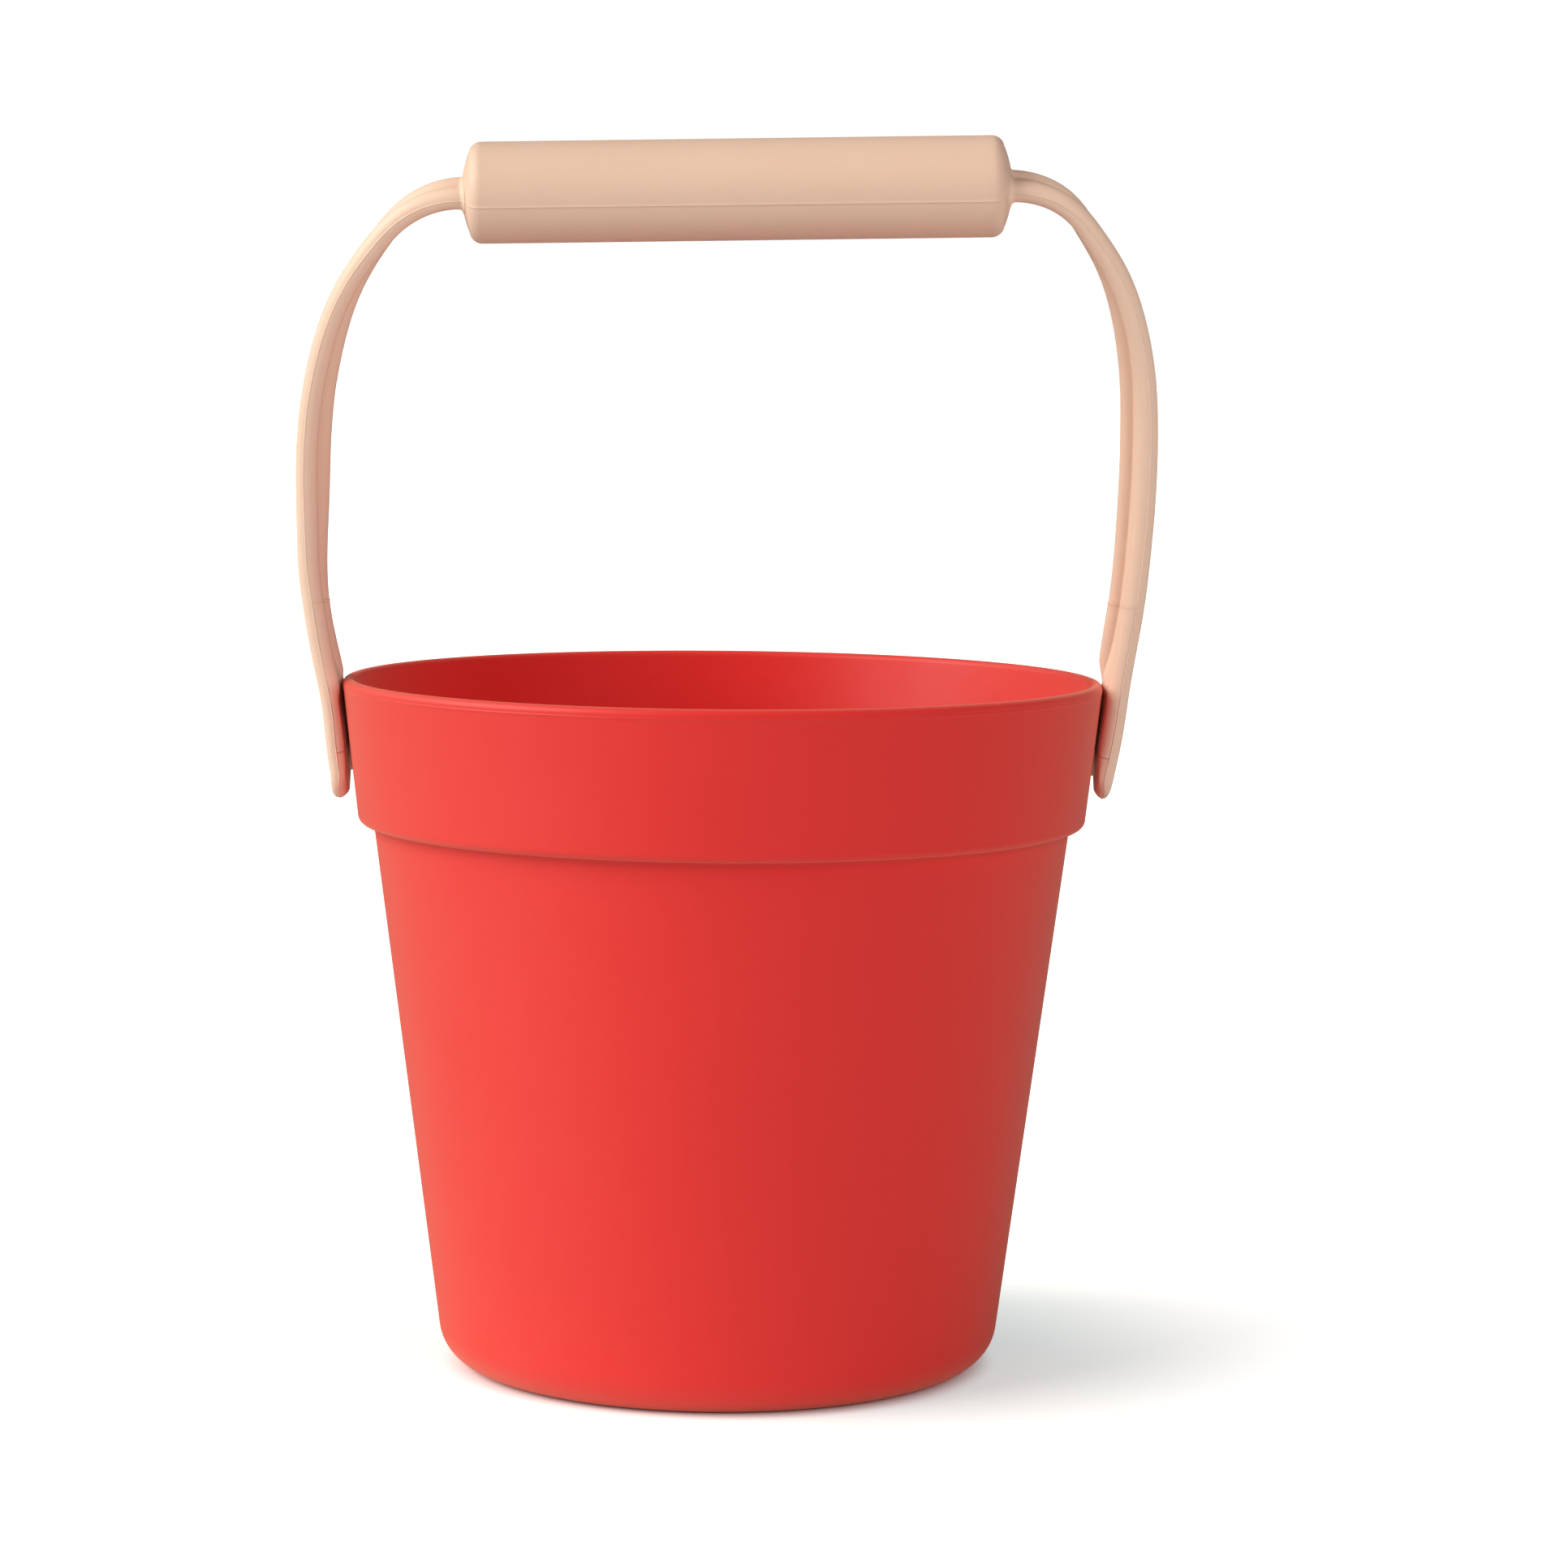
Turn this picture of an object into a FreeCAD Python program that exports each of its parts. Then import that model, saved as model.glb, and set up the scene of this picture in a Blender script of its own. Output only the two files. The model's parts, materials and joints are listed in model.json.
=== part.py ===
"""Child's sand bucket with a swinging carry handle.

Row frame: millimetres, +Z up, origin at the centre of the base on the ground, X through both handle pivots,
-Y towards the side that the handle leans to at rest.

The bucket is one moulding: a tapered cup whose wall steps out into a deep collar. The handle is a moulded strap of
two ribs that runs from pivot to pivot through a thick round grip, and turns on two pins. Each pin belongs to an
anchor: a stiff tongue let into the inner face of the arm, with a head that holds it inside the bucket's wall.
"""

import FreeCAD, Part
import math
import os
import Sketcher
from FreeCAD import Placement, Rotation, Vector

DRIVING = {
    # bucket
    "rim_radius": 77.5,
    "bucket_height": 141.0,
    "ledge_height": 111.5,
    "ledge_outer_radius": 74.1,
    "body_top_radius": 71.1,
    "base_radius": 56.45,
    "wall": 2.6,
    "base_rounding": 8.8,
    "inner_base_rounding": 6.5,
    "rim_rounding": 1.25,
    "ledge_rounding": 1.6,
    "step_rounding": 1.0,
    # handle pivots
    "pivot_height": 124.5,
    "pin_radius": 3.0,
    "pin_clearance": 0.05,
    "lean": 18.5,
    # strap
    "strap_thickness": 4.3,
    "pad_width": 15.5,
    "grip_end_width": 11.0,
    "outer_groove_depth": 0.7,
    "inner_groove_depth": 1.3,
    "strap_twist": 11.3,
    "shoulder_radius": 17.8,
    "shoulder_sweep": 53.5,
    "upper_arm_radius": 70.4,
    "upper_arm_sweep": 33.2,
    "lower_arm_radius": 361.0,
    "lower_arm_sweep": 12.05,
    "pad_face_start": 75.85,
    "pad_relief_reach": 20.0,
    # grip
    "grip_reach": 120.8,
    "grip_radius": 9.85,
    "grip_length": 107.4,
    "grip_dome_depth": 2.7,
    "grip_corner_rounding": 2.4,
    # anchors
    "head_face": 71.8,
    "head_thickness": 2.6,
    "head_radius": 7.5,
    "head_rounding": 1.8,
    "flange_face": 77.0,
    "flange_thickness": 1.2,
    "flange_radius": 5.5,
    "tongue_foot": 76.25,
    "tongue_top": 79.6,
    "tongue_length": 36.5,
    "tongue_thickness": 1.5,
    "tongue_width": 8.0,
}

LOWER_STATIONS = 5
UPPER_STATIONS = 4
SHOULDER_STATIONS = 4
SIDES = {"right": 1, "left": -1}

doc = FreeCAD.newDocument("sand_bucket")
sheet = doc.addObject("Spreadsheet::Sheet", "sizes")
for line, (alias, value) in enumerate(DRIVING.items(), start=1):
    sheet.set(f"A{line}", alias)
    sheet.set(f"B{line}", str(value))
    sheet.setAlias(f"B{line}", alias)
doc.recompute()


def size(alias):
    """The value of one driving dimension."""
    return float(sheet.get(alias))


def new_body(name):
    body = doc.addObject("PartDesign::Body", name)
    body.Label = name
    return body


def new_sketch(body, name, plane, offset=None):
    """A sketch on one of the body's own origin planes, moved by an offset given in that plane's frame."""
    sketch = body.newObject("Sketcher::SketchObject", name)
    support = [o for o in body.Origin.OriginFeatures if o.Role == plane][0]
    sketch.AttachmentSupport = [(support, "")]
    sketch.MapMode = "FlatFace"
    if offset:
        sketch.AttachmentOffset = offset
    return sketch


def bind(sketch, constraint, expression):
    """Add a dimension to a sketch and bind it to the sheet."""
    index = sketch.addConstraint(constraint)
    sketch.setExpression(f"Constraints[{index}]", expression)


def bind_point(sketch, edge, vertex, across, up):
    """Hold one end of an edge at (across, up), both expressions."""
    for kind, expression in (("DistanceX", across), ("DistanceY", up)):
        value = sketch.evalExpression(expression)
        value = float(getattr(value, "Value", value))
        bind(sketch, Sketcher.Constraint(kind, -1, 1, edge, vertex, value), expression)


def polygon(sketch, corners):
    """A closed outline of straight edges whose corners are pairs of expressions."""
    points = []
    for pair in corners:
        numbers = [sketch.evalExpression(text) for text in pair]
        numbers = [float(getattr(n, "Value", n)) for n in numbers]
        points.append(Vector(numbers[0], numbers[1], 0))
    for start, end in zip(points, points[1:] + points[:1]):
        sketch.addGeometry(Part.LineSegment(start, end), False)
    join_in_ring(sketch)
    for i, (across, up) in enumerate(corners):
        bind_point(sketch, i, 1, across, up)


def join_in_ring(sketch):
    """Tie each edge of a sketch to the next, and the last to the first, at the ends that meet."""
    count = sketch.GeometryCount
    for i in range(count):
        after = (i + 1) % count
        for vertex, other in ((1, 1), (1, 2), (2, 1), (2, 2)):
            gap = sketch.getPoint(i, vertex) - sketch.getPoint(after, other)
            if gap.Length < 1e-6:
                sketch.addConstraint(Sketcher.Constraint("Coincident", i, vertex, after, other))
                break


def add_feature(body, kind, name, sketch, **settings):
    feature = body.newObject(kind, name)
    feature.Profile = sketch
    for key, value in settings.items():
        setattr(feature, key, value)
    return feature


def ring_edges(shape, rings, axis="z"):
    """Names of the circular edges about an axis with the given (radius, place along the axis) pairs."""
    names = []
    for radius, place in rings:
        for i, edge in enumerate(shape.Edges, start=1):
            if edge.Degenerated or not isinstance(edge.Curve, Part.Circle):
                continue
            along = getattr(edge.Curve.Center, axis)
            if abs(edge.Curve.Radius - radius) < 0.05 and abs(along - place) < 0.05:
                names.append(f"Edge{i}")
    return names


def round_edges(body, name, base, names, alias):
    fillet = body.newObject("PartDesign::Fillet", name)
    fillet.Base = (base, names)
    fillet.setExpression("Radius", f"sizes.{alias}")
    doc.recompute()
    return fillet


# ---------------------------------------------------------------- bucket shell

BODY_SLOPE = "(sizes.body_top_radius - sizes.base_radius) / sizes.ledge_height"
COLLAR_SLOPE = "(sizes.rim_radius - sizes.ledge_outer_radius) / (sizes.bucket_height - sizes.ledge_height)"


def make_bucket_shell():
    """The cup: turned outline, rounded edges, and one pin hole through both sides of the collar."""
    body = new_body("bucket_shell")
    outline = new_sketch(body, "shell_outline", "XZ_Plane")
    inner_ledge = "sizes.ledge_height + sizes.wall"
    polygon(outline, [
        ("0", "0"),
        ("sizes.base_radius", "0"),
        ("sizes.body_top_radius", "sizes.ledge_height"),
        ("sizes.ledge_outer_radius", "sizes.ledge_height"),
        ("sizes.rim_radius", "sizes.bucket_height"),
        ("sizes.rim_radius - sizes.wall", "sizes.bucket_height"),
        (f"sizes.ledge_outer_radius + ({COLLAR_SLOPE} - 1) * sizes.wall", inner_ledge),
        (f"sizes.body_top_radius + ({BODY_SLOPE} - 1) * sizes.wall", inner_ledge),
        (f"sizes.base_radius + ({BODY_SLOPE} - 1) * sizes.wall", "sizes.wall"),
        ("0", "sizes.wall"),
    ])
    doc.recompute()
    turned = add_feature(body, "PartDesign::Revolution", "turned_wall", outline, Angle=360.0)
    turned.ReferenceAxis = (outline, ["V_Axis"])
    doc.recompute()

    wall = size("wall")
    ledge = size("ledge_height")
    body_slope = (size("body_top_radius") - size("base_radius")) / ledge
    collar_slope = (size("rim_radius") - size("ledge_outer_radius")) / (size("bucket_height") - ledge)
    rings = {
        "base_rounding": [(size("base_radius"), 0.0)],
        "inner_base_rounding": [(size("base_radius") + (body_slope - 1) * wall, wall)],
        "rim_rounding": [
            (size("rim_radius"), size("bucket_height")),
            (size("rim_radius") - wall, size("bucket_height")),
        ],
        "ledge_rounding": [
            (size("ledge_outer_radius"), ledge),
            (size("ledge_outer_radius") + (collar_slope - 1) * wall, ledge + wall),
        ],
        "step_rounding": [
            (size("body_top_radius"), ledge),
            (size("body_top_radius") + (body_slope - 1) * wall, ledge + wall),
        ],
    }
    last = turned
    for alias, places in rings.items():
        names = ring_edges(last.Shape, places)
        if len(names) != len(places):
            raise RuntimeError(f"{alias}: found {len(names)} of {len(places)} edges")
        last = round_edges(body, f"round_{alias}", last, names, alias)

    hole = new_sketch(body, "pin_hole", "YZ_Plane")
    hole.addGeometry(Part.Circle(Vector(0, size("pivot_height"), 0), Vector(0, 0, 1), size("pin_radius")), False)
    hole.addConstraint(Sketcher.Constraint("PointOnObject", 0, 3, -2))
    height = Sketcher.Constraint("DistanceY", -1, 1, 0, 3, size("pivot_height"))
    bind(hole, height, "sizes.pivot_height")
    radius = Sketcher.Constraint("Radius", 0, size("pin_radius"))
    bind(hole, radius, "sizes.pin_radius + sizes.pin_clearance")
    doc.recompute()
    before = last.Shape.Volume
    add_feature(body, "PartDesign::Pocket", "pin_holes", hole, SideType="Symmetric", Type="ThroughAll")
    doc.recompute()
    removed = before - body.Shape.Volume
    expected = 2 * wall * math.pi * (size("pin_radius") + size("pin_clearance")) ** 2
    if abs(removed - expected) > 0.05 * expected:
        raise RuntimeError(f"pin holes removed {removed:.1f} mm3, expected {expected:.1f}")
    return body


# ---------------------------------------------------------------- handle, upright in its own frame
# X is the pivot axis, Z runs from the pivot axis to the grip, and the handle's front is -Y.


def bail_stations():
    """Points and headings down the arm's centreline, from the grip to the pivot: (x, z, heading, share of length).

    The centreline is a chain of three tangent arcs. Heading is the angle, in degrees, turned from straight out
    of the grip: 90 points straight down.
    """
    arcs = [
        (size("shoulder_radius"), size("shoulder_sweep"), SHOULDER_STATIONS),
        (size("upper_arm_radius"), size("upper_arm_sweep"), UPPER_STATIONS),
        (size("lower_arm_radius"), size("lower_arm_sweep"), LOWER_STATIONS),
    ]
    total = sum(math.radians(sweep) * radius for radius, sweep, _ in arcs)
    x, z, heading, run = size("grip_length") / 2, size("grip_reach"), 0.0, 0.0
    stations = [(x, z, heading, 0.0)]
    for radius, sweep, count in arcs:
        for _ in range(count):
            after = heading + sweep / count
            x += radius * (math.sin(math.radians(after)) - math.sin(math.radians(heading)))
            z -= radius * (math.cos(math.radians(heading)) - math.cos(math.radians(after)))
            run += radius * math.radians(sweep / count)
            heading = after
            stations.append((x, z, heading, run / total))
    return stations


def twist_at(share):
    """Toe-in of the strap's back edge, in degrees: none at the grip and at the pivot, most in mid-arm."""
    from_pivot = max(0.0, 1.0 - share)
    return size("strap_twist") * math.sin(math.pi * from_pivot ** 1.25) ** 2


def strap_section(body, name, offset, share, plane="XY_Plane"):
    """The strap's cross-section: two round ribs joined by a web with a shallow groove on each face.

    Sketch X runs across the strap, sketch Y through its thickness, outwards. share is 0 at the grip, 1 at the pad.
    """
    sketch = new_sketch(body, name, plane, offset)
    half = size("strap_thickness") / 2
    width = size("grip_end_width") + (size("pad_width") - size("grip_end_width")) * share
    rib = width / 2 - half
    ends = [(rib, -half), (rib, half), (-rib, half), (-rib, -half)]
    middles = [
        (rib + half, 0.0),
        (0.0, half - size("outer_groove_depth")),
        (-rib - half, 0.0),
        (0.0, -half + size("inner_groove_depth")),
    ]
    for i in range(4):
        start, middle, end = (Vector(p[0], p[1], 0) for p in (ends[i], middles[i], ends[(i + 1) % 4]))
        sketch.addGeometry(Part.Arc(start, middle, end), False)
    join_in_ring(sketch)
    half_text = "sizes.strap_thickness / 2"
    width_text = f"(sizes.grip_end_width + (sizes.pad_width - sizes.grip_end_width) * {share:.6f})"
    rib_text = f"({width_text} / 2 - {half_text})"
    for arc, side in ((0, ""), (2, "-")):
        bind(sketch, Sketcher.Constraint("Radius", arc, half), half_text)
        centre = sketch.Geometry[arc].Center
        bind(sketch, Sketcher.Constraint("DistanceX", -1, 1, arc, 3, centre.x), f"{side}1 * {rib_text}")
        sketch.addConstraint(Sketcher.Constraint("PointOnObject", arc, 3, -1))
        for vertex in (1, 2):
            sketch.addConstraint(Sketcher.Constraint("Vertical", arc, 3, arc, vertex))
    for arc, alias in ((1, "outer_groove_depth"), (3, "inner_groove_depth")):
        radius = sketch.Geometry[arc].Radius
        text = f"({rib_text} * {rib_text} + sizes.{alias} * sizes.{alias}) / (2 * sizes.{alias})"
        bind(sketch, Sketcher.Constraint("Radius", arc, radius), text)
    return sketch


def station_frame(station):
    """Where a section of the right arm stands: sketch X to the handle's front, sketch Y outwards, both twisted."""
    x, z, heading, share = station
    turn = math.radians(heading)
    outwards = Vector(math.sin(turn), 0, math.cos(turn))
    front = Vector(0, -1, 0)
    twist = math.radians(twist_at(share))
    across = front * math.cos(twist) + outwards * math.sin(twist)
    through = outwards * math.cos(twist) - front * math.sin(twist)
    along = across.cross(through)
    return Placement(Vector(x, 0, z), Rotation(across, through, along, "ZXY"))


def core_frame():
    """Where the section of the strap's straight middle stands, half way along the grip."""
    return Placement(Vector(0, 0, size("grip_reach")), Rotation(Vector(0, -1, 0), Vector(0, 0, 1), Vector(1, 0, 0)))


def add_arm(body):
    """The right arm: a loft through the strap sections, and the pad's half disc below the pivot."""
    stations = bail_stations()
    sections = [
        strap_section(body, f"arm_section_{i}", station_frame(station), station[3])
        for i, station in enumerate(stations)
    ]
    doc.recompute()
    add_feature(body, "PartDesign::AdditiveLoft", "arm", sections[0], Sections=sections[1:])
    doc.recompute()

    x, z, heading, _ = stations[-1]
    offset = Placement(Vector(x, z, 0), Rotation(Vector(0, 0, 1), -heading))
    outline = new_sketch(body, "pad_outline", "XZ_Plane", offset)
    half = size("strap_thickness") / 2
    reach = size("pad_width") / 2 - half
    half_text = "sizes.strap_thickness / 2"
    reach_text = f"sizes.pad_width / 2 - {half_text}"
    corners = [Vector(0, -half, 0), Vector(reach, -half, 0), Vector(reach, half, 0), Vector(0, half, 0)]
    outline.addGeometry(Part.LineSegment(corners[0], corners[1]), False)
    outline.addGeometry(Part.Arc(corners[1], Vector(reach + half, 0, 0), corners[2]), False)
    outline.addGeometry(Part.LineSegment(corners[2], corners[3]), False)
    outline.addGeometry(Part.LineSegment(corners[3], corners[0]), False)
    join_in_ring(outline)
    bind_point(outline, 0, 1, "0", f"-1 * {half_text}")
    bind_point(outline, 0, 2, reach_text, f"-1 * {half_text}")
    bind_point(outline, 2, 1, reach_text, half_text)
    bind_point(outline, 2, 2, "0", half_text)
    bind(outline, Sketcher.Constraint("DistanceX", -1, 1, 1, 3, reach), reach_text)
    doc.recompute()
    pad = add_feature(body, "PartDesign::Revolution", "pad", outline, Angle=180.0, Midplane=True)
    pad.ReferenceAxis = (outline, ["V_Axis"])
    doc.recompute()


def relieve_pad(body):
    """Cut the pad's inner face to a shallow cone about the pivot axis.

    The cone has the collar's own taper, so the pad clears the collar at every angle of the handle.
    """
    outline = new_sketch(body, "relief_outline", "XZ_Plane")
    inside = "sizes.pad_face_start - 10"
    polygon(outline, [
        (inside, "0"),
        ("sizes.pad_face_start", "0"),
        (f"sizes.pad_face_start + {COLLAR_SLOPE} * sizes.pad_relief_reach", "sizes.pad_relief_reach"),
        (inside, "sizes.pad_relief_reach"),
    ])
    doc.recompute()
    before = body.Shape.Volume
    relief = add_feature(body, "PartDesign::Groove", "pad_relief", outline, Angle=360.0)
    relief.ReferenceAxis = (outline, ["H_Axis"])
    doc.recompute()
    if before - body.Shape.Volume < 1.0:
        raise RuntimeError("the pad's relief cut nothing")


def make_handle_blank():
    """The whole strap before the anchors are let into it: its right half, then the mirror image."""
    body = new_body("handle_blank")
    core_section = strap_section(body, "core_section", core_frame(), 0.0)
    doc.recompute()
    core = add_feature(body, "PartDesign::Pad", "grip_core", core_section)
    core.setExpression("Length", "sizes.grip_length / 2")
    doc.recompute()
    add_arm(body)
    relieve_pad(body)
    half_volume = body.Shape.Volume
    mirror = body.newObject("PartDesign::Mirrored", "left_half")
    mirror.TransformMode = "Whole shape"
    mirror.MirrorPlane = ([o for o in body.Origin.OriginFeatures if o.Role == "YZ_Plane"][0], [""])
    body.Tip = mirror
    doc.recompute()
    if abs(body.Shape.Volume - 2 * half_volume) > 1.0:
        raise RuntimeError(f"mirrored strap holds {body.Shape.Volume:.0f} mm3, expected {2 * half_volume:.0f}")
    return body


def make_anchor(side_name, side):
    """Pin, head and flange turned about the pivot axis, and the tongue that runs up the arm's inner face."""
    body = new_body(f"{side_name}_pivot_anchor")
    sign = f"{side} * "
    turned = new_sketch(body, f"{side_name}_pin_outline", "XZ_Plane")
    polygon(turned, [
        (sign + "(sizes.head_face - sizes.head_thickness)", "0"),
        (sign + "(sizes.head_face - sizes.head_thickness)", "sizes.head_radius"),
        (sign + "sizes.head_face", "sizes.head_radius"),
        (sign + "sizes.head_face", "sizes.pin_radius"),
        (sign + "sizes.flange_face", "sizes.pin_radius"),
        (sign + "sizes.flange_face", "sizes.flange_radius"),
        (sign + "(sizes.flange_face + sizes.flange_thickness)", "sizes.flange_radius"),
        (sign + "(sizes.flange_face + sizes.flange_thickness)", "0"),
    ])
    doc.recompute()
    pin = add_feature(body, "PartDesign::Revolution", f"{side_name}_pin", turned, Angle=360.0)
    pin.ReferenceAxis = (turned, ["H_Axis"])
    doc.recompute()
    crown = (size("head_radius"), side * (size("head_face") - size("head_thickness")))
    round_edges(body, f"{side_name}_head_crown", pin, ring_edges(pin.Shape, [crown], "x"), "head_rounding")

    side_view = new_sketch(body, f"{side_name}_tongue_outline", "XZ_Plane")
    polygon(side_view, [
        (sign + "sizes.tongue_foot", "0"),
        (sign + "(sizes.tongue_foot + sizes.tongue_thickness)", "0"),
        (sign + "(sizes.tongue_top + sizes.tongue_thickness)", "sizes.tongue_length"),
        (sign + "sizes.tongue_top", "sizes.tongue_length"),
    ])
    doc.recompute()
    tongue = add_feature(body, "PartDesign::Pad", f"{side_name}_tongue", side_view, SideType="Symmetric")
    tongue.setExpression("Length", "sizes.tongue_width")
    doc.recompute()
    return body


def make_grip_sleeve():
    """The round grip with domed ends, moulded over the strap's straight middle."""
    body = new_body("grip_sleeve")
    outline = new_sketch(body, "grip_outline", "XZ_Plane", Placement(Vector(0, size("grip_reach"), 0), Rotation()))
    outline.setExpression("AttachmentOffset.Base.y", "sizes.grip_reach")
    end = size("grip_length") / 2
    depth = size("grip_dome_depth")
    radius = size("grip_radius")
    dome = (radius ** 2 + depth ** 2) / (2 * depth)
    half_way = 0.5 * math.asin(radius / dome)
    bulge = (end - dome * (1 - math.cos(half_way)), dome * math.sin(half_way))
    tips = [Vector(end, 0, 0), Vector(end - depth, radius, 0), Vector(depth - end, radius, 0), Vector(-end, 0, 0)]
    outline.addGeometry(Part.Arc(tips[0], Vector(bulge[0], bulge[1], 0), tips[1]), False)
    outline.addGeometry(Part.LineSegment(tips[1], tips[2]), False)
    outline.addGeometry(Part.Arc(tips[2], Vector(-bulge[0], bulge[1], 0), tips[3]), False)
    outline.addGeometry(Part.LineSegment(tips[3], tips[0]), False)
    join_in_ring(outline)
    end_text = "sizes.grip_length / 2"
    bind_point(outline, 1, 1, f"{end_text} - sizes.grip_dome_depth", "sizes.grip_radius")
    bind_point(outline, 1, 2, f"sizes.grip_dome_depth - {end_text}", "sizes.grip_radius")
    bind_point(outline, 3, 1, f"-1 * {end_text}", "0")
    bind_point(outline, 3, 2, end_text, "0")
    dome_text = (
        "(sizes.grip_radius * sizes.grip_radius + sizes.grip_dome_depth * sizes.grip_dome_depth)"
        " / (2 * sizes.grip_dome_depth)"
    )
    for arc in (0, 2):
        bind(outline, Sketcher.Constraint("Radius", arc, dome), dome_text)
    doc.recompute()
    turned = add_feature(body, "PartDesign::Revolution", "grip_round", outline, Angle=360.0)
    turned.ReferenceAxis = (outline, ["H_Axis"])
    doc.recompute()
    corners = ring_edges(turned.Shape, [(radius, end - depth), (radius, depth - end)], "x")
    rounded = round_edges(body, "grip_corners", turned, corners, "grip_corner_rounding")
    before = rounded.Shape.Volume
    bore = strap_section(body, "strap_bore", core_frame(), 0.0)
    doc.recompute()
    add_feature(body, "PartDesign::Pocket", "strap_passage", bore, SideType="Symmetric", Type="ThroughAll")
    doc.recompute()
    if before - body.Shape.Volume < 1000.0:
        raise RuntimeError("the strap's passage cut nothing")
    return body


def lean_forward(part):
    """Stand a handle piece on the pivot axis and lean it to its rest angle."""
    part.Placement = Placement(Vector(0, 0, size("pivot_height")), Rotation(Vector(1, 0, 0), size("lean")))
    part.setExpression("Placement.Base.z", "sizes.pivot_height")
    part.setExpression("Placement.Rotation.Angle", "sizes.lean * 1 deg")


shell = make_bucket_shell()
blank = make_handle_blank()
anchors = [make_anchor(side_name, side) for side_name, side in SIDES.items()]
grip = make_grip_sleeve()
for part in [blank, grip] + anchors:
    lean_forward(part)
doc.recompute()

seats = doc.addObject("Part::MultiFuse", "anchor_seats")
seats.Shapes = anchors
strap = doc.addObject("Part::Cut", "handle_strap")
strap.Base = blank
strap.Tool = seats
strap.Label = "handle_strap"
doc.recompute()

for item in doc.Objects:
    if any(word in item.State for word in ("Invalid", "Error")):
        raise RuntimeError(f"{item.Name} failed: {item.State}")

os.makedirs("parts", exist_ok=True)
for part in [shell, strap, grip] + anchors:
    shape = part.Shape
    if shape.isNull() or not shape.isValid() or len(shape.Solids) != 1:
        raise RuntimeError(f"{part.Label}: shape is not one valid solid")
    shape.exportStep(f"parts/{part.Label}.step")
    box = shape.BoundBox
    print(f"{part.Label}: {shape.Volume:.0f} mm3, x {box.XMin:.1f}..{box.XMax:.1f}, "
          f"y {box.YMin:.1f}..{box.YMax:.1f}, z {box.ZMin:.1f}..{box.ZMax:.1f}")
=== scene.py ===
"""A child's sand bucket: a soft red cup with a deep collar, and a beige bail of two ribs with a round grip.

Lengths are in millimetres, and become metres where the meshes and the camera are made. The floor's lengths
are in metres throughout. The cup stands in the row frame. The handle is made upright in a frame of its own,
then leaned: X along the pivot axis, Y to the back, and V from the pivots up to the grip.
"""

import json
import math

import bpy
import numpy as np
from mathutils import Matrix, Vector


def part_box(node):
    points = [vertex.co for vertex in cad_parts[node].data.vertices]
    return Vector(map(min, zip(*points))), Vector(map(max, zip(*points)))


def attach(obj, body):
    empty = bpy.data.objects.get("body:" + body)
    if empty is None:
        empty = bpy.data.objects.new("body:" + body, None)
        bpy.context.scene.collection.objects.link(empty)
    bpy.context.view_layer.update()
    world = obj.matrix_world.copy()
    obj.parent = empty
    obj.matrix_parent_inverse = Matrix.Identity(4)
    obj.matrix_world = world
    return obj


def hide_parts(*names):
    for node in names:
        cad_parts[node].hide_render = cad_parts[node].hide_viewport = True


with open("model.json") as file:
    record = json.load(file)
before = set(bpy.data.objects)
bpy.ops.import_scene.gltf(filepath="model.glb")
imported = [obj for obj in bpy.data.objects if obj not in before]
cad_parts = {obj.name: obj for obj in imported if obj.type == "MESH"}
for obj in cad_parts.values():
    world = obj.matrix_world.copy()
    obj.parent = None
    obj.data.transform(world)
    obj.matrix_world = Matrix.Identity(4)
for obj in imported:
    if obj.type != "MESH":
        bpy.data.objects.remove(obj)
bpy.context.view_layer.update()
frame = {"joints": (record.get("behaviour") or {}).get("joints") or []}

MM = 0.001
ON_AXIS = 1e-6

# ---------------------------------------------------------------- sizes that come from the frame

_, shell_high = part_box("bucket_shell")
grip_low, grip_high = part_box("grip_sleeve")
RIM_HEIGHT = shell_high.z / MM
PIVOT_HEIGHT = frame["joints"][0]["pos_m"][2] / MM
SWING = frame["joints"][0]["range_deg"]
GRIP_RADIUS = (grip_high.y - grip_low.y) / 2 / MM
GRIP_RISE = (grip_high.z + grip_low.z) / 2 / MM - PIVOT_HEIGHT
GRIP_FORWARD = -(grip_high.y + grip_low.y) / 2 / MM
LEAN = math.atan2(GRIP_FORWARD, GRIP_RISE)
REACH = math.hypot(GRIP_FORWARD, GRIP_RISE)

# ---------------------------------------------------------------- the cup

WALL = 2.6
RIM_RADIUS = 77.5
RIM_ROUNDING = 1.25
LEDGE_HEIGHT = 111.5
LEDGE_RADIUS = 74.1
LEDGE_ROUNDING = 1.6
LEDGE_CREASE = 1.0
BODY_TOP_RADIUS = 71.1
BASE_RADIUS = 56.45
BASE_ROUNDING = 8.8
CUP_FLOOR_ROUNDING = 6.5
HOLE_RADIUS = 3.05
DRILL_REACH = 100.0
COLLAR_SLOPE = (RIM_RADIUS - LEDGE_RADIUS) / (RIM_HEIGHT - LEDGE_HEIGHT)
BODY_SLOPE = (BODY_TOP_RADIUS - BASE_RADIUS) / LEDGE_HEIGHT
CUP_SEGMENTS = 320

# the cup's parting line is a low ridge this far below the rim
PARTING_DROP = 1.9
PARTING_HEIGHT = 0.07
PARTING_WIDTH = 0.22

# ---------------------------------------------------------------- the bail

STRAP_THICKNESS = 4.3
GRIP_END_WIDTH = 11.0
PAD_WIDTH = 15.5

# the right arm's centreline: where it leaves the grip, its arcs of (radius, degrees) from there down, and the
# length over which one arc blends into the next
GRIP_END = 53.3
ARM_ARCS = ((17.82, 53.5), (70.37, 33.17), (361.0, 12.06))
BEND_BLEND = 5.0
PATH_STEP = 0.05

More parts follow.
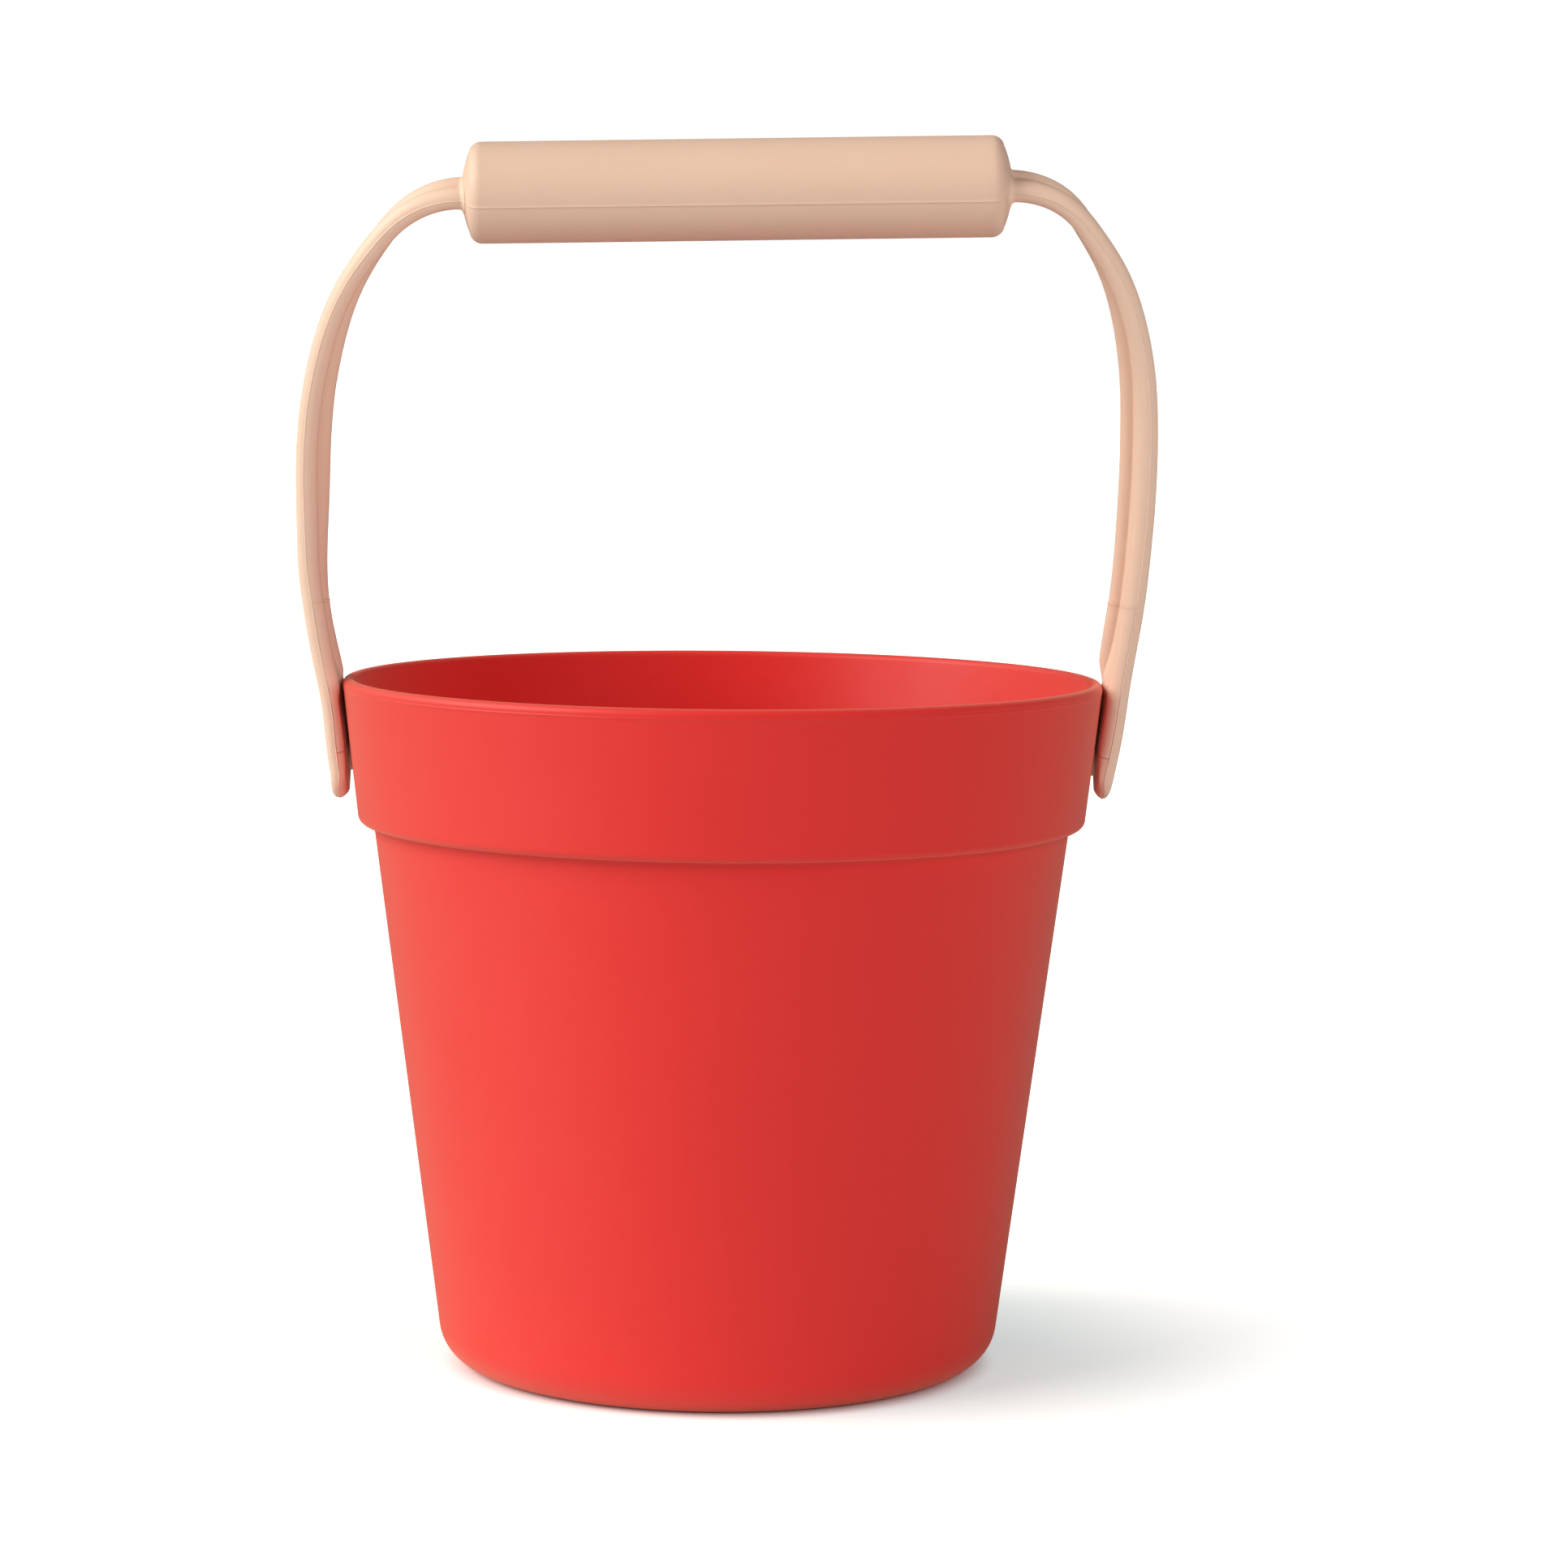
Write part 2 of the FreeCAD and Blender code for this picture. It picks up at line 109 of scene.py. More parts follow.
# the groove in each face of the strap, and the heights above the pivot between which it fades in
OUTER_GROOVE = 0.9
OUTER_GROOVE_FADE = (5.0, 16.0)
INNER_GROOVE = 1.8
INNER_GROOVE_FADE = (10.0, 27.0)
GROOVE_FILLET = 0.35

# the parting ridges along the strap's edges, and the grip's, which is a little lower and wider
RIDGE_HEIGHT = 0.13
RIDGE_WIDTH = 0.16
GRIP_RIDGE_HEIGHT = 0.12
GRIP_RIDGE_WIDTH = RIDGE_WIDTH * 1.25

# the grip's domed ends, and the fillet where the strap comes out of them
DOME_RADIUS = 21.0
DOME_TIP = 53.4
DOME_CORNER = 2.6
ROOT_FILLET = 1.0
GRIP_SEGMENTS = 192

# the dome's points stop this share of the corner's radius short of the edge, and this far from the corner
CAP_SHORTENING = 0.45
CAP_MARGIN = 0.2

# the strap's rings start inside the grip, and are close together at the fillet, from ROOT_START to ROOT_STOP
STRAP_START = -3.0
ROOT_START = -1.6
ROOT_STOP = 2.0
ROOT_STEP = 0.12
ARM_RINGS = 170

# the insert of each pivot anchor shows on the inner half of the arm, between these heights above the pivot.
# It is a shell in a recess INSERT_DEPTH deep, held INSERT_SEAT off its floor and INSERT_GAP from its ends
INSERT_FOOT = 4.0
INSERT_TOP = 34.3
INSERT_DEPTH = 0.7
INSERT_SEAT = 0.05
INSERT_GAP = 0.015

# the insert stands INSERT_LIFT proud, and its long edges lie as far below the strap's surface. A low lip
# along each end has INSERT_LIP's heights at LIP_STEPS from the end, and has died away at LIP_LENGTH
INSERT_LIFT = 0.03
INSERT_LIP = (0.02, 0.16, 0.14)
LIP_STEPS = (0.0, 0.05, 0.15)
LIP_LENGTH = 0.6
INSERT_RINGS = 44

# the strap has rings this near to each end of the insert, and none in between
SEAM_NEAR = 0.02
SEAM_FAR = 0.3

# how far from the insert's upper end the strap's rings are still cut level with the ground
LEVEL_SPREAD = 9.0

# the soft bail doesn't hang quite true: the grip sits to the right of centre and tilts, right end up
GRIP_SHIFT = 1.95
GRIP_TILT = math.radians(1.35)

# each arm of the soft bail, right 1 and left -1, twists and bends in its own way. TWIST gives degrees of
# toe-in at shares of the way up from the pivot. Each bend is (outwards, height above the pivot, spread)
TWIST = {
    1: (
        (0.0, 0.0), (0.1, 5.5), (0.23, 11.0), (0.33, 12.8),
        (0.44, 15.7), (0.58, 17.0), (0.8, 11.5), (1.0, 0.0),
    ),
    -1: (
        (0.0, 0.0), (0.15, -1.0), (0.27, 0.8), (0.35, 6.2),
        (0.44, 11.0), (0.6, 14.0), (0.8, 11.5), (1.0, 0.0),
    ),
}
BENDS = {
    1: ((-0.75, 21.0, 12.0), (0.2, 64.0, 16.0), (-0.35, 88.0, 16.0), (-0.5, 112.0, 7.0)),
    -1: ((-0.6, 14.0, 9.0), (0.8, 39.0, 14.0), (0.3, 68.0, 12.0), (0.95, 103.0, 13.0)),
}

# each pad's rounded foot: how far it reaches, in half widths of the pad, how much its edge is filled out,
# from 0 for round to 1 for square, and how far it stands outwards once it is FLARE_DEPTH below the pivot
FOOT_REACH = {1: 1.0, -1: 1.14}
FOOT_BLUNTING = {1: 0.4, -1: 0.5}
FOOT_FLARE = {1: 0.0, -1: 0.62}
FLARE_DEPTH = 6.0
FOOT_STEPS = 40

# the pad keeps PAD_GAP off the collar. Its foot thins for that: not at all at its front and back edges, and
# fully from where the sine of its turn downwards is THINNING_SINE
PAD_GAP = 0.14
THINNING_SINE = 0.6

# each pivot anchor: the head inside the cup, the pin through its wall and the flange in the pad. A FACE is a
# distance along the pivot axis from the cup's middle
PIN_RADIUS = 3.0
HEAD_FACE = 71.8
HEAD_THICKNESS = 2.6
HEAD_RADIUS = 7.5
HEAD_CROWN = 0.25
HEAD_ROUNDING = 1.7
HEAD_EDGE = 0.35
PIN_FILLET = 0.3
FLANGE_FACE = 77.0
FLANGE_THICKNESS = 1.2
FLANGE_RADIUS = 5.5
FINE_ROUNDING = 0.1


# ---------------------------------------------------------------- outlines and meshes


def spaced(start, end, count):
    """Points from start to end, closer together near both ends."""
    start, end = np.array(start, float), np.array(end, float)
    share = (1 - np.cos(np.linspace(0, math.pi, count + 1))) / 2
    return start + share[:, None] * (end - start)


def rounded_outline(corners, run_steps=12, arc_steps=9):
    """An open outline through corners given as (along, across, rounding)."""
    ends = [np.array(c[:2], float) for c in corners]
    pieces = []
    leave = ends[0]
    for i in range(1, len(corners) - 1):
        radius = corners[i][2]
        back = ends[i - 1] - ends[i]
        onward = ends[i + 1] - ends[i]
        back, onward = back / np.linalg.norm(back), onward / np.linalg.norm(onward)
        half = math.acos(np.clip(back @ onward, -1, 1)) / 2
        reach = radius / math.tan(half)
        middle = back + onward
        centre = ends[i] + middle / np.linalg.norm(middle) * radius / math.sin(half)
        first, last = ends[i] + back * reach, ends[i] + onward * reach
        turn = math.pi - 2 * half
        from_centre, side = (first - centre) / radius, (last - centre) / radius
        angles = np.linspace(0, turn, arc_steps + 1)[:, None]
        arc = centre + radius * (np.sin(turn - angles) * from_centre + np.sin(angles) * side) / math.sin(turn)
        pieces += [spaced(leave, first, run_steps)[:-1], arc[:-1]]
        leave = arc[-1]
    pieces.append(spaced(leave, ends[-1], run_steps))
    return np.concatenate(pieces)


def lathe(outline, segments):
    """Turn an outline of (along, radius) points about the first axis. Points on the axis become poles.

    Returns points as (along, across, up), and faces that look outwards where the outline runs up the outside.
    """
    points, faces, rings = [], [], []
    angles = np.arange(segments) * 2 * math.pi / segments
    for along, radius in outline:
        first = len(points)
        if radius < ON_AXIS:
            points.append((along, 0.0, 0.0))
            rings.append([first] * segments)
        else:
            points += [(along, radius * math.cos(a), radius * math.sin(a)) for a in angles]
            rings.append(list(range(first, first + segments)))
    for low, high in zip(rings, rings[1:]):
        for i in range(segments):
            j = (i + 1) % segments
            face = [low[i], low[j], high[j], high[i]]
            faces.append([v for k, v in enumerate(face) if v not in face[:k]])
    return np.array(points), faces


def make_piece(name, points, faces, material, body, replaced=()):
    """A smooth-shaded mesh object, in metres, riding on a body."""
    mesh = bpy.data.meshes.new(name)
    mesh.from_pydata((np.asarray(points) * MM).tolist(), [], faces)
    mesh.validate()
    mesh.update()
    mesh.shade_smooth()
    piece = bpy.data.objects.new(name, mesh)
    bpy.context.scene.collection.objects.link(piece)
    mesh.materials.append(material)
    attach(piece, body)
    if replaced:
        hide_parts(*replaced)
    return piece


def lean(points):
    """From the handle's own frame (x, y, v) to the row frame."""
    x, y, v = np.asarray(points, float).T
    back = y * math.cos(LEAN) - v * math.sin(LEAN)
    up = PIVOT_HEIGHT + y * math.sin(LEAN) + v * math.cos(LEAN)
    return np.stack([x, back, up], 1)


def settle(points):
    """Give the upright handle the small shift and tilt of a soft bail. Nothing moves at the pivots.

    The shift comes mostly in the upper arms, and only the grip leans sideways with its tilt.
    """
    x, y, v = np.asarray(points, float).T
    rise = np.clip(v / REACH, 0, 1)
    share = rise * rise * (3 - 2 * rise)
    tilt = math.tan(GRIP_TILT)
    near_grip = share ** 12
    moved = x + GRIP_SHIFT * share ** 3 - near_grip * tilt * (v - REACH)
    return np.stack([moved, y, v + share * tilt * x], 1)


# ---------------------------------------------------------------- materials


class Shader:
    """A material's node tree, built a node at a time."""

    def __init__(self, name):
        self.material = bpy.data.materials.new(name)
        self.material.use_nodes = True
        self.tree = self.material.node_tree
        self.bsdf = self.tree.nodes["Principled BSDF"]
        self.place = self.node("ShaderNodeTexCoord").outputs["Object"]

    def node(self, kind, **settings):
        made = self.tree.nodes.new(kind)
        for key, value in settings.items():
            setattr(made, key, value)
        return made

    def link(self, source, target):
        self.tree.links.new(source, target)

    def noise(self, scale, detail=3.0, roughness=0.55):
        """Noise fixed to the piece, its scale in waves to the metre."""
        made = self.node("ShaderNodeTexNoise")
        made.inputs["Scale"].default_value = scale
        made.inputs["Detail"].default_value = detail
        made.inputs["Roughness"].default_value = roughness
        self.link(self.place, made.inputs["Vector"])
        return made.outputs["Fac"]

    def spread(self, source, low, high, start=0.3, end=0.7):
        """Map a noise from its usual span to low..high."""
        made = self.node("ShaderNodeMapRange")
        self.link(source, made.inputs["Value"])
        for key, value in (("From Min", start), ("From Max", end), ("To Min", low), ("To Max", high)):
            made.inputs[key].default_value = value
        return made.outputs["Result"]

    def mix(self, factor, first, second):
        """Blend two colours. The factor and either colour can be a socket or a value."""
        made = self.node("ShaderNodeMix", data_type="RGBA", blend_type="MIX")
        sockets = (made.inputs["Factor"], made.inputs[6], made.inputs[7])
        for socket, value in zip(sockets, (factor, first, second)):
            if isinstance(value, bpy.types.NodeSocket):
                self.link(value, socket)
            else:
                socket.default_value = value
        return made.outputs[2]

    def bump(self, height, strength, distance, normal=None):
        """Turn a noise into relief, its distance in metres, on top of an earlier relief."""
        made = self.node("ShaderNodeBump")
        made.inputs["Strength"].default_value = strength
        made.inputs["Distance"].default_value = distance
        self.link(height, made.inputs["Height"])
        if normal:
            self.link(normal, made.inputs["Normal"])
        return made.outputs["Normal"]


def silicone(name, colour, deep, dusty, sheen, scatter):
    """Matte soft-touch silicone: slow drifts of tone, a fine powdery bloom, and a faint moulded grain."""
    shader = Shader(name)
    drift = shader.spread(shader.noise(scale=14.0, detail=2.0), low=0.0, high=1.0)
    tone = shader.mix(drift, (*colour, 1), (*deep, 1))
    powder = shader.noise(scale=900.0, detail=4.0, roughness=0.7)
    bloom = shader.spread(powder, low=0.0, high=0.10, start=0.45, end=0.8)
    tone = shader.mix(bloom, tone, (*dusty, 1))
    shader.link(tone, shader.bsdf.inputs["Base Color"])
    rough = shader.spread(shader.noise(scale=60.0), low=0.45, high=0.53)
    shader.link(rough, shader.bsdf.inputs["Roughness"])
    grain = shader.bump(shader.noise(scale=2600.0, detail=2.0), strength=0.12, distance=0.00004)
    swell = shader.bump(shader.noise(scale=38.0, detail=1.0), strength=0.10, distance=0.0004, normal=grain)
    shader.link(swell, shader.bsdf.inputs["Normal"])
    shader.bsdf.inputs["Sheen Weight"].default_value = sheen
    shader.bsdf.inputs["Sheen Roughness"].default_value = 0.6
    shader.bsdf.inputs["Sheen Tint"].default_value = (1.0, 0.55, 0.40, 1)
    shader.bsdf.inputs["IOR"].default_value = 1.50
    shader.bsdf.inputs["Subsurface Weight"].default_value = scatter
    shader.bsdf.inputs["Subsurface Radius"].default_value = (1.0, 0.35, 0.22)
    shader.bsdf.inputs["Subsurface Scale"].default_value = 0.0012
    return shader.material


RED = silicone(
    "red_silicone", sheen=0.48, scatter=0.0,
    colour=(0.80, 0.011, 0.013), deep=(0.77, 0.009, 0.012), dusty=(0.82, 0.05, 0.04),
)
BEIGE = silicone(
    "beige_silicone", sheen=0.10, scatter=0.12,
    colour=(0.83, 0.605, 0.475), deep=(0.82, 0.585, 0.455), dusty=(0.86, 0.68, 0.57),
)
# the beige silicone again, painted lighter for the strap and the anchors: painted light, so the thin arms
# come out as bright as the grip under these lamps
BEIGE_PAINTED_LIGHTER = silicone(
    "beige_painted_lighter", sheen=0.10, scatter=0.12,
    colour=(0.90, 0.67, 0.53), deep=(0.89, 0.65, 0.51), dusty=(0.91, 0.73, 0.62),
)


# ---------------------------------------------------------------- the cup's mesh


def seam_ridge(seam):
    """Outline points of the low rounded parting ridge round the outside of the collar."""
    ridge = []
    for t in (-1.0, -0.6, -0.25, 0.0, 0.25, 0.6, 1.0):
        along, out = seam + PARTING_WIDTH * t, PARTING_HEIGHT * (1 - t * t) ** 2
        ridge.append((along, RIM_RADIUS - COLLAR_SLOPE * (RIM_HEIGHT - along) + out))
    return ridge


def make_cup():
    """The cup, turned from its outline, with a pin hole through both sides of its collar."""
    inner_ledge = LEDGE_HEIGHT + WALL
    corners = [
        (0.0, 0.0, 0.0),
        (0.0, BASE_RADIUS, BASE_ROUNDING),
        (LEDGE_HEIGHT, BODY_TOP_RADIUS, LEDGE_CREASE),
        (LEDGE_HEIGHT, LEDGE_RADIUS, LEDGE_ROUNDING),
        (RIM_HEIGHT, RIM_RADIUS, RIM_ROUNDING),
        (RIM_HEIGHT, RIM_RADIUS - WALL, RIM_ROUNDING),
        (inner_ledge, LEDGE_RADIUS + (COLLAR_SLOPE - 1) * WALL, LEDGE_ROUNDING),
        (inner_ledge, BODY_TOP_RADIUS + (BODY_SLOPE - 1) * WALL, LEDGE_CREASE),
        (WALL, BASE_RADIUS + (BODY_SLOPE - 1) * WALL, CUP_FLOOR_ROUNDING),
        (WALL, 0.0, 0.0),
    ]
    outline = rounded_outline(corners, run_steps=22, arc_steps=12)
    top = np.argmax(outline[:, 0])
    outside, inside = outline[:top], outline[top:]
    seam = RIM_HEIGHT - PARTING_DROP
    outside = outside[abs(outside[:, 0] - seam) >= PARTING_WIDTH]
    above = np.argmax(outside[:, 0] > seam)
    outline = np.concatenate([outside[:above], seam_ridge(seam), outside[above:], inside])
    turned, faces = lathe(outline, CUP_SEGMENTS)
    points = turned[:, [1, 2, 0]]
    cup = make_piece("cup", points, faces, RED, "bucket", ["bucket_shell"])
    drill_pin_holes(cup)


def drill_pin_holes(cup):
    """Cut the hole for each anchor's pin with one drill along the pivot axis."""
    ends = [(-DRILL_REACH, 0.0), (-DRILL_REACH, HOLE_RADIUS), (DRILL_REACH, HOLE_RADIUS), (DRILL_REACH, 0.0)]
    points, faces = lathe(ends, 48)
    points = points + np.array([0, 0, PIVOT_HEIGHT])
    mesh = bpy.data.meshes.new("drill")
    mesh.from_pydata((points * MM).tolist(), [], faces)
    drill = bpy.data.objects.new("drill", mesh)
    bpy.context.scene.collection.objects.link(drill)
    cut = cup.modifiers.new("pin_holes", "BOOLEAN")
    cut.object = drill
    cut.solver = "EXACT"
    graph = bpy.context.evaluated_depsgraph_get()
    drilled = bpy.data.meshes.new_from_object(cup.evaluated_get(graph))
    cup.modifiers.clear()
    cup.data = drilled
    bpy.data.objects.remove(drill)


# ---------------------------------------------------------------- the bail's surface


def arm_path():
    """Arc length, x, v and heading along the right arm's centreline, from the grip's end to the pivot."""
    total = sum(radius * math.radians(sweep) for radius, sweep in ARM_ARCS)
    step = PATH_STEP
    run = np.arange(0, total + step / 2, step)
    bend = np.zeros_like(run)
    start = 0.0
    for radius, sweep in ARM_ARCS:
        length = radius * math.radians(sweep)
        bend[(run >= start) & (run <= start + length)] = 1 / radius
        start += length
    window = int(BEND_BLEND / step)
    padded = np.pad(bend, window, mode="edge")
    smooth = np.convolve(padded, np.ones(window) / window, mode="same")[window:-window]
    smooth *= bend.sum() / smooth.sum()
    heading = np.concatenate([[0], np.cumsum((smooth[1:] + smooth[:-1]) / 2 * step)])
    middle = (heading[1:] + heading[:-1]) / 2
    x = GRIP_END + np.concatenate([[0], np.cumsum(np.cos(middle) * step)])
    v = REACH - np.concatenate([[0], np.cumsum(np.sin(middle) * step)])
    v -= v[-1] * run / run[-1]
    return run, x, v, heading


ARM_RUN, ARM_X, ARM_V, ARM_HEADING = arm_path()
ARM_LENGTH = ARM_RUN[-1]


def run_at_height(height):
    """Arc length at which the lower arm stands at a height above the pivot."""
    return float(np.interp(-height, -ARM_V, ARM_RUN))


def section_template():
    """The front half of the strap's outline, from outer middle to inner middle, as (kind, place, side) rows.

    "web", "fillet" and "rib" rows lie on a grooved face. Their place runs from 0 to 1 away from the middle,
    and their side is 1 outside and -1 inside. "edge" rows lie round the rib's free side, their place being
    the angle from straight ahead.
    """
    face = [("web", place) for place in (0.0, 0.5)]
    face += [("fillet", place) for place in np.linspace(0, 1, 7)]
    face += [("rib", place) for place in np.linspace(0, 1, 11)[1:]]
    turn = RIDGE_ANGLE
    sweep = list(np.linspace(90, turn * 1.4, 13))
    sweep += [turn, turn * 0.6, turn * 0.3, 0.0, -turn * 0.3, -turn * 0.6, -turn]
    sweep += list(np.linspace(-turn * 1.4, -90, 13))
    rows = [(kind, place, 1) for kind, place in face]
    rows += [("edge", angle, 0) for angle in sweep[1:-1]]
    rows += [(kind, place, -1) for kind, place in reversed(face)]
    return rows


RIDGE_ANGLE = math.degrees(RIDGE_WIDTH / (STRAP_THICKNESS / 2))
TEMPLATE = section_template()


def half_section(width, outer_groove, inner_groove):
    """(across, through, normal across, normal through) rows of the front half of the strap's outline."""
    half = STRAP_THICKNESS / 2
    reach = width / 2 - half
    rows = []
    for kind, place, side in TEMPLATE:
        if kind == "edge":
            angle = math.radians(place)
            lift = RIDGE_HEIGHT * max(0.0, 1 - (place / RIDGE_ANGLE) ** 2) ** 2
            out = half + lift
            normal = (math.cos(angle), math.sin(angle))
            rows.append((reach + out * normal[0], out * normal[1], *normal))
            continue
        floor = half - (outer_groove if side > 0 else inner_groove)
        centre = reach - math.sqrt((half + GROOVE_FILLET) ** 2 - (floor + GROOVE_FILLET) ** 2)
        tangent = math.atan2(reach - centre, floor + GROOVE_FILLET)
        if kind == "web":
            rows.append((centre * place, side * floor, 0.0, side))
        elif kind == "fillet":
            angle = tangent * place
            across = centre + GROOVE_FILLET * math.sin(angle)
            through = floor + GROOVE_FILLET * (1 - math.cos(angle))
            rows.append((across, side * through, -math.sin(angle), side * math.cos(angle)))
        else:
            angle = tangent * (1 - place)
            out = (-math.sin(angle), side * math.cos(angle))
            rows.append((reach + half * out[0], half * out[1], *out))
    return np.array(rows)


def ease(value, start, end):
    """0 before start, 1 after end, smooth between."""
    share = min(max((value - start) / (end - start), 0.0), 1.0)
    return share * share * (3 - 2 * share)


def smooth_curve(points, at):
    """A smooth curve through (place, value) points."""
    places, values = np.array(points, float).T
    slopes = np.gradient(values, places)
    i = int(np.clip(np.searchsorted(places, at) - 1, 0, len(places) - 2))
    step = places[i + 1] - places[i]
    t = (at - places[i]) / step
    rise = t * t * (3 - 2 * t)
    leave, arrive = t * (1 - t) ** 2 * step * slopes[i], t * t * (t - 1) * step * slopes[i + 1]
    return values[i] * (1 - rise) + values[i + 1] * rise + leave + arrive


def bend_at(side, height):
    """How far an arm is bent outwards at a height above the pivot."""
    return sum(out * math.exp(-(((height - middle) / spread) ** 2)) for out, middle, spread in BENDS[side])


def arm_ring(run, side, lift):
    """One ring of the strap's surface in the handle's frame, at an arc length from the grip's end.

    lift(height) gives how far each row of the ring stands off the surface. The ring's rows are the front
    half's, from outer middle to inner middle, then the back half's in the opposite order, less the middles.
    """
    x = np.interp(run, ARM_RUN, ARM_X) if run > 0 else GRIP_END + run
    v = np.interp(run, ARM_RUN, ARM_V)
    heading = np.interp(run, ARM_RUN, ARM_HEADING)
    share = max(run, 0.0) / ARM_LENGTH
    width = GRIP_END_WIDTH + (PAD_WIDTH - GRIP_END_WIDTH) * share
    twist = math.radians(smooth_curve(TWIST[side], 1 - share))
    x += bend_at(side, v)
    outer = OUTER_GROOVE * ease(v, *OUTER_GROOVE_FADE)
    inner = INNER_GROOVE * ease(v, *INNER_GROOVE_FADE)
    front = half_section(width, outer, inner)
    back = front[-2:0:-1] * np.array([-1, 1, -1, 1])
    rows = np.concatenate([front, back])
    outwards = np.array([math.sin(heading), 0, math.cos(heading)])
    forward = np.array([0.0, -1.0, 0.0])
    across = forward * math.cos(twist) + outwards * math.sin(twist)
    through = outwards * math.cos(twist) - forward * math.sin(twist)
    centre = np.array([x, 0, v])
    places = centre + rows[:, :1] * across + rows[:, 1:2] * through
    normals = rows[:, 2:3] * across + rows[:, 3:4] * through
    if run < 3 * ROOT_FILLET:
        places = places + normals * root_flare(places)[:, None]
    places = places + normals * lift(v)[:, None]
    # the insert's upper end is cut level with the ground, not square to the leaning arm
    along = np.array([math.cos(heading), 0, -math.sin(heading)])
    near_top = math.exp(-(((v - INSERT_TOP) / LEVEL_SPREAD) ** 2))
    return places + (places[:, 1] * math.tan(LEAN) * near_top)[:, None] * along


def root_flare(places):
    """How far the strap's surface flares into the grip's domed end, by the distance from the dome."""
    radius = np.hypot(places[:, 1], places[:, 2] - REACH)
    dome = DOME_TIP - (DOME_RADIUS - np.sqrt(DOME_RADIUS ** 2 - np.minimum(radius, DOME_RADIUS * 0.9) ** 2))
    gap = np.clip(places[:, 0] - dome, 0, ROOT_FILLET)
    return ROOT_FILLET - np.sqrt(ROOT_FILLET ** 2 - (ROOT_FILLET - gap) ** 2)


def collar_reach(y, v):
    """How far out the tapered collar comes beside a place on the pad, over the handle's whole swing.

    The collar is widest where the place comes highest. The round collar falls away from the pad to the sides.
    """
    radius = np.hypot(y, v)
    upright = math.radians(max(SWING[1] + math.degrees(LEAN), -SWING[0] - math.degrees(LEAN)))
    off_top = np.maximum(np.abs(np.arctan2(y, v)) - upright, 0)
    highest = np.minimum(radius * np.cos(off_top), RIM_HEIGHT - PIVOT_HEIGHT)
    collar = LEDGE_RADIUS + COLLAR_SLOPE * (PIVOT_HEIGHT - LEDGE_HEIGHT + highest)
    return collar - (radius ** 2 - highest ** 2) / (2 * RIM_RADIUS) + PAD_GAP


def clear_collar(places):
    """Keep the inner face of the pad out of the collar's way."""
    x, y, v = places.T
    return np.stack([np.maximum(x, collar_reach(y, v)), y, v], 1)


FRONT_ROWS = len(TEMPLATE)
RING_ROWS = 2 * FRONT_ROWS - 2


def insert_mask():
    """1 for ring rows in the inner half between the two parting ridges, where the anchor's insert lies."""
    inside = np.zeros(RING_ROWS)
    for i, (kind, place, side) in enumerate(TEMPLATE):
        past_ridge = kind == "edge" and place < -1.2 * RIDGE_ANGLE
        if side < 0 or past_ridge:
            inside[i] = 1
            if 0 < i < FRONT_ROWS - 1:
                inside[RING_ROWS - i] = 1
    return inside


INSERT_ROWS = insert_mask()


def arm_stations():
    """Arc lengths of the strap's rings: close together at the root and at the insert's ends."""
    seams = (run_at_height(INSERT_FOOT), run_at_height(INSERT_TOP))
    runs = list(np.arange(ROOT_START, ROOT_STOP, ROOT_STEP))
    runs += list(np.linspace(ROOT_STOP + 0.1, ARM_LENGTH, ARM_RINGS))
    for seam in seams:
        runs += [seam - SEAM_FAR, seam - SEAM_NEAR, seam + SEAM_NEAR, seam + SEAM_FAR]
    runs = np.unique(np.round(runs, 4))
    clear = [r for r in runs if not any(SEAM_NEAR < abs(r - s) < SEAM_FAR - SEAM_NEAR for s in seams)]
    return [STRAP_START] + clear


def recess(height):
    """The strap's surface is let in where the insert lies."""
    depth = INSERT_DEPTH if INSERT_FOOT < height < INSERT_TOP else 0.0
    return -depth * INSERT_ROWS


